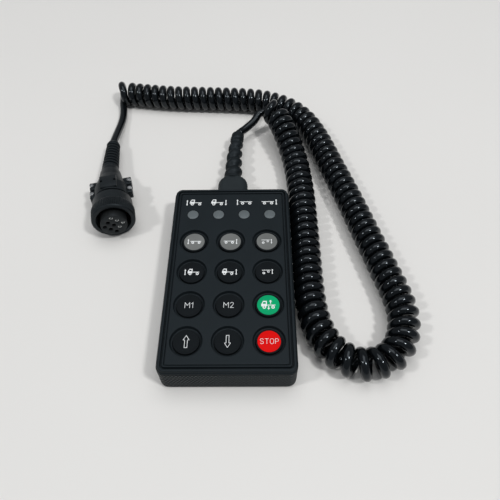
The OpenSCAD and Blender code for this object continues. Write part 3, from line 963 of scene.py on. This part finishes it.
def make_relief():
    """A tapered sleeve with a rope-like winding, and a plain collar at its tip."""
    length = (RELIEF_END - RELIEF_START).length
    steps = 160
    profile = []
    for i in range(steps + 1):
        z = RELIEF_ROOT + (length - RELIEF_ROOT) * i / steps
        profile.append((RELIEF_ROOT_R - (RELIEF_ROOT_R - RELIEF_TIP_R) * max(0.0, z) / length, z))

    def winding(radius, z, angle):
        if radius < 4:
            return radius
        from_root, to_collar = (z - RELIEF_ROOT - 2.5) / 2, (length - RELIEF_COLLAR - z) / 2.5
        fade = min(1.0, max(0.0, from_root), max(0.0, to_collar))
        lobe = 0.5 + 0.5 * cos(angle - 2 * pi * RELIEF_TURNS * z / length)
        return radius - fade * 2.3 * (1 - lobe) ** 1.5

    profile = [(BORE_R, RELIEF_ROOT), *profile, (BORE_R + 0.5, length + 0.35), (BORE_R, length)]
    bm = bmesh.new()
    lathe(bm, profile, 72, closed=True, shape=winding)
    for vertex in bm.verts:
        vertex.co.x += RELIEF_BOW * sin(pi * min(1.0, max(0.0, vertex.co.z / length)))
    relief = placed("relief_sleeve", bm, RELIEF, "handset", pointing(RELIEF_START, RELIEF_END), 60)
    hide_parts("strain_relief")
    return relief


gland = make_gland()
relief = make_relief()


# ---------------------------------------------------------------- plug

def plug_piece(name, bm, material, body="handset", angle=32):
    return placed(name, bm, material, body, PLUG_PLACE, angle)


RING_R, RING_BACK = 13.9, -16.3
KNURL_BACK, KNURL_FRONT = -7.8, -1.0
KNURL_DEPTH = 0.85
KNURL_RIBS = 76
MARK_ANGLE = 98


def make_ring():
    """The coupling ring: a knurled band, a plain collar behind it, and a small raised mark."""

    def grip(radius, z, angle):
        if radius < 13 or not KNURL_BACK <= z <= KNURL_FRONT:
            return radius
        return radius - KNURL_DEPTH * (0.5 - 0.5 * cos(KNURL_RIBS * angle)) ** 0.7

    outline = fillet([
        (11.0, 0, 0.3), (13.2, 0, 0.4), (13.85, -0.65, 0.2), (RING_R, -0.95), (RING_R, KNURL_FRONT),
        (RING_R, KNURL_BACK), (13.88, -7.85), (13.8, -8.1, 0.2), (13.0, -9.2, 0.3), (12.9, -16.0, 0.3),
        (12.4, RING_BACK), (9.65, RING_BACK), (9.65, -15.0), (10.8, -15.0), (10.8, -3.2), (11.0, -3.2),
    ], 4)
    bm = bmesh.new()
    lathe(bm, outline, KNURL_RIBS * 6, closed=True, shape=grip)
    mark = [(12.6, -1.0), (12.6, 1.0), (12.95, 0.7), (12.95, -0.7)]
    angle = radians(MARK_ANGLE)
    ends = []
    for z in (-10.9, -9.4):
        ends.append([bm.verts.new((
            x * cos(angle) - y * sin(angle), x * sin(angle) + y * cos(angle), z)) for x, y in mark])
    bridge(bm, *ends)
    bm.faces.new(ends[0])
    bm.faces.new(ends[1][::-1])
    ring = plug_piece("coupling_ring_shell", bm, PLUG, "coupling_ring")
    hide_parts("coupling_ring")
    return ring


def boot_place():
    """The boot's own frame: the plug's, turned a little to one side at the backshell's end."""
    pivot = Matrix.Translation(plug_point(BOOT_Z))
    turn = Matrix.Rotation(radians(-BOOT_BEND), 4, "Z")
    return pivot @ turn @ pivot.inverted() @ PLUG_PLACE


BOOT_RIBS, BOOT_RIB_PITCH = 8, 3.05
BOOT_GROOVE_R, BOOT_GROOVE_W = 3.6, 1.75


def make_boot():
    """The cord's tapered boot: a spigot in the backshell, a row of deep grooves, and a plain tip."""

    def radius(z):
        return 5.9 + (z - BOOT_Z) / 24

    points = [(BORE_R, BOOT_Z + 4), (4, BOOT_Z + 4), (4, BOOT_Z - 0.2), (5.7, BOOT_Z - 0.2, 0.3)]
    for i in range(BOOT_RIBS):
        z = BOOT_Z - 2.3 - i * BOOT_RIB_PITCH
        far = z - BOOT_GROOVE_W
        points += [
            (radius(z), z, 0.35), (BOOT_GROOVE_R, z - 0.15, 0.15), (BOOT_GROOVE_R, far + 0.15, 0.15),
            (radius(far), far, 0.35),
        ]
    points += [(4.9, BOOT_END + 2.6, 0.6), (3.9, BOOT_END, 0.5), (BORE_R, BOOT_END)]
    bm = bmesh.new()
    lathe(bm, fillet(points, 3), 64, closed=True)
    boot = placed("cord_boot", bm, RELIEF, "handset", boot_place())
    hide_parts("connector_boot")
    return boot


# Insides of the backshell: radius and place along the plug's axis, from the ring to the boot
HOLLOW = [(9.3, -29.5), (6.7, -40.0), (4.75, -48.0)]
EAR_SCREW_ZS = (-33.55, -25.15)
EAR_HALF, EAR_X, EAR_T = 3.45, (8.6, 13.9), 2.8
SCREW_X, SCREW_HOLE_R = 12.5, 0.95
PAD_HALF, PAD_TOP, PAD_BACK, PAD_FRONT = 5.4, 11.75, -31.5, -20.4
NOTCH_X, NOTCH_HALF = 4.4, 0.8


def plug_block(x, y, z, bevel=0.0):
    """A block in the plug's frame, from a low and a high value for each direction."""
    bm = bmesh.new()
    prism(bm, box_shape(x[0], y[0], x[1], y[1]), *z)
    if bevel:
        bmesh.ops.recalc_face_normals(bm, faces=bm.faces)
        bmesh.ops.bevel(bm, geom=bm.edges[:], offset=bevel, segments=2, affect="EDGES", profile=0.5)
    return plug_piece("block", bm, PLUG, None)


def make_backshell(name, side):
    """Half of the shell behind the ring: a flared wall with a raised pad, notches and two ears a side."""
    wall = fillet([
        (9.3, -16.8), (10.0, -16.8), (10.0, -19.4), (11.3, -19.4, 0.3), (11.3, -28.5, 2.0),
        (8.1, -39.5, 3.0), (7.0, -46.2, 0.5), (5.9, -47.1), (5.9, BOOT_Z, 0.3), (4.75, BOOT_Z), *HOLLOW[::-1],
    ])
    bm = bmesh.new()
    lathe(bm, wall, 96, closed=True)
    shell = plug_piece(f"{name}_shell", bm, PLUG, None)
    added = [plug_block((-PAD_HALF, PAD_HALF), (0, PAD_TOP * side), (PAD_BACK, PAD_FRONT), 0.3)]
    holes = []
    for x in (-1, 1):
        for z in EAR_SCREW_ZS:
            ear_z = (z - EAR_HALF, z + EAR_HALF)
            added.append(plug_block([x * edge for edge in EAR_X], (0, EAR_T * side), ear_z, 0.35))
            bm = bmesh.new()
            lathe(bm, [(0, -6), (SCREW_HOLE_R, -6), (SCREW_HOLE_R, 6), (0, 6)], 24)
            upright = Matrix.Translation((x * SCREW_X, 0, z)) @ Matrix.Rotation(radians(-90), 4, "X")
            holes.append(placed("hole", bm, PLUG, None, PLUG_PLACE @ upright))
            notch_x = (x * NOTCH_X - NOTCH_HALF, x * NOTCH_X + NOTCH_HALF)
            holes.append(plug_block(notch_x, (10.6 * side, 12.5 * side), (z - 2.2, z - 0.4)))
    hollow = bmesh.new()
    lathe(hollow, [(0, -15), (9.3, -15), *HOLLOW, (4.75, -52), (0, -52)], 96)
    carve(shell, added, "UNION")
    other_half = plug_block((-20, 20), (-20 * side, 0.05 * side), (-60, -10))
    carve(shell, [plug_piece("hollow", hollow, PLUG, None), other_half, *holes])
    smooth_by(shell, 32)
    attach(shell, "handset")
    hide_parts(name)
    return shell


ring = make_ring()
boot = make_boot()
backshells = [make_backshell("backshell_upper", 1), make_backshell("backshell_lower", -1)]
for name, width in (("contact_insert", 0.12), ("contact_sockets", 0.12), ("backshell_screws", 0.12),
                    ("case_screws", 0.15)):
    soften(name, width)

NODE_MATERIALS = {
    "backshell_screws": STEEL, "connector_body": INSERT, "contact_insert": INSERT,
    "contact_sockets": CONTACT, "connector_leads": LEAD, "interface_seal": SEAL_ORANGE, "wave_spring": SPRING,
    "case_screws": STEEL, "threaded_inserts": BRASS, "case_seal": SEAL,
    "contact_pills": PILL, "indicator_leds": LED, "circuit_board": BOARD, "controller_chip": CHIP,
    "board_capacitors": CAN, "board_header": IVORY, "lead_plug": IVORY, "handset_leads": LEAD,
    "cord_inner_end": CORD, "cord_clamp": PLUG, "clamp_screws": STEEL,
}
for name, material in NODE_MATERIALS.items():
    nodes[name].data.materials.clear()
    nodes[name].data.materials.append(material)


# ---------------------------------------------------------------- floor and light

def make_floor():
    bm = bmesh.new()
    size = 3.0 / MM
    for x, y in ((-1, -1), (1, -1), (1, 1), (-1, 1)):
        bm.verts.new((x * size, y * size, 0))
    bm.faces.new(bm.verts[:])
    material, tree, shader = new_material("floor_card")
    coords = add(tree, "ShaderNodeTexCoord").outputs["Object"]
    tone = ramp(tree, noise(tree, coords, 3, 2), (0.715, 0.705, 0.685), (0.735, 0.725, 0.705))
    tree.links.new(tone, shader.inputs["Base Color"])
    shader.inputs["Roughness"].default_value = 0.6
    shader.inputs["Specular IOR Level"].default_value = 0.2
    floor = placed("floor", bm, material, None)


def area_light(name, place, aim, size, power, tone=(1, 1, 1)):
    data = bpy.data.lights.new(name, "AREA")
    data.shape = "RECTANGLE"
    data.size, data.size_y = size
    data.energy = power
    data.color = tone
    light = bpy.data.objects.new(name, data)
    light.location = place
    light.rotation_euler = (Vector(aim) - Vector(place)).to_track_quat("-Z", "Y").to_euler()
    bpy.context.scene.collection.objects.link(light)


def make_light():
    world = bpy.data.worlds.new("studio")
    world.use_nodes = True
    background = world.node_tree.nodes["Background"]
    background.inputs["Color"].default_value = (0.93, 0.96, 1.0, 1)
    background.inputs["Strength"].default_value = 0.27
    bpy.context.scene.world = world
    area_light("overhead", (0.05, 0.30, 1.5), (0.0, 0.15, 0), (1.1, 1.1), 8.0)
    area_light("front_right", (1.046, -0.616, 1.98), (0.02, 0.05, 0), (0.27, 0.27), 21)
    area_light("front_left", (-1.348, -0.472, 1.764), (0.02, 0.05, 0), (0.20, 0.20), 11)


make_floor()
make_light()
